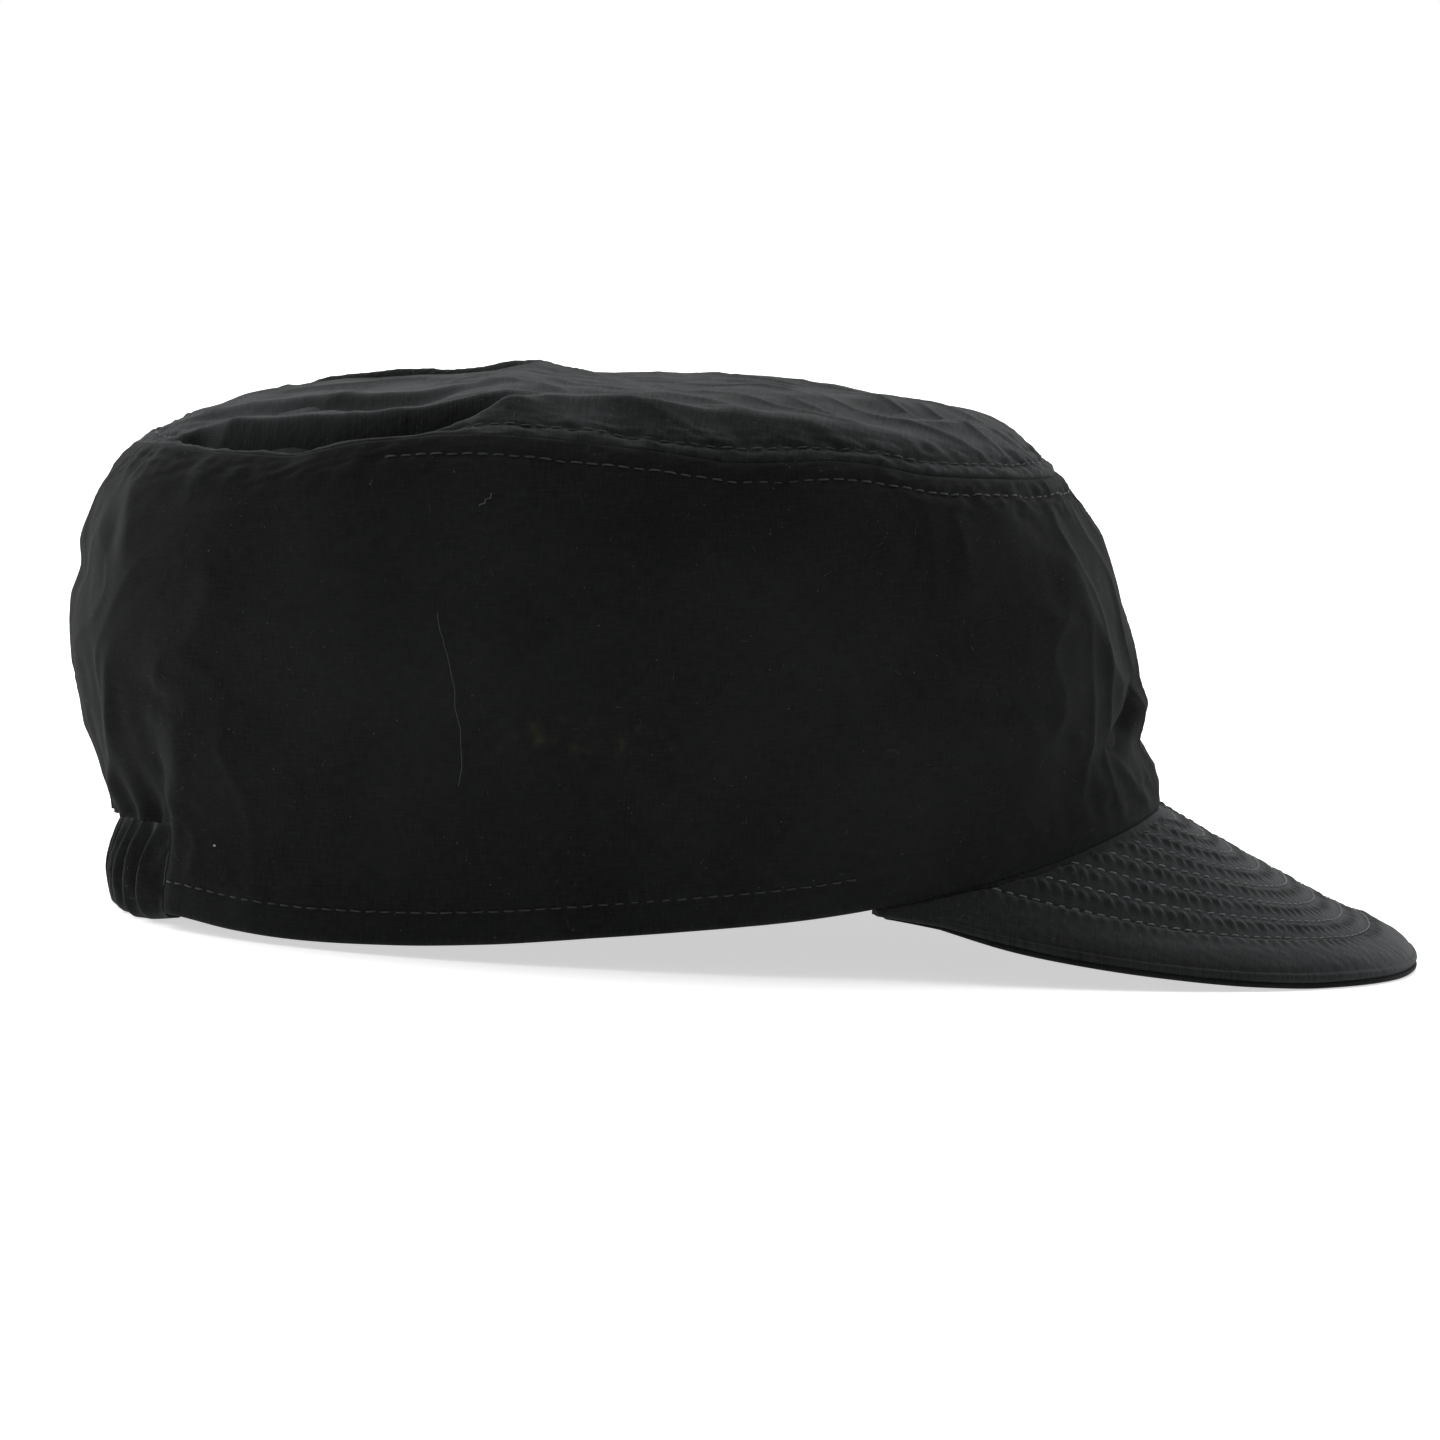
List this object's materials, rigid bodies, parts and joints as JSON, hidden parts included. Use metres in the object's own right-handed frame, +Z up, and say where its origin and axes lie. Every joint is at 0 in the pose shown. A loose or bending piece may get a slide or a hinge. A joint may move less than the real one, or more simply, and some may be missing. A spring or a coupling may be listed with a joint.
{
  "type": "cadet cap",
  "caption": "Short-peaked cadet cap of thin black cotton: soft round crown, upright side wall, gathered elastic casing at the back and a quilted, down-curved peak.",
  "frame": {"origin": "middle of the cap's plan box, on the ground that it rests on", "axes": "+X forward over the peak, +Y to the wearer's left, +Z up to the crown"},
  "size_m": [0.2604, 0.168, 0.1068],
  "materials": {
    "crown_cloth": "matt woven cotton",
    "wall_cloth": "matt woven cotton",
    "casing_cloth": "matt woven cotton, gathered",
    "peak_cloth": "matt woven cotton, quilted",
    "under_cloth": "matt woven cotton"
  },
  "bodies": {
    "root": {"crown_top": "crown_cloth", "side_wall": "wall_cloth", "elastic_casing": "casing_cloth", "peak_top": "peak_cloth", "peak_underside": "under_cloth"}
  },
  "joints": []
}
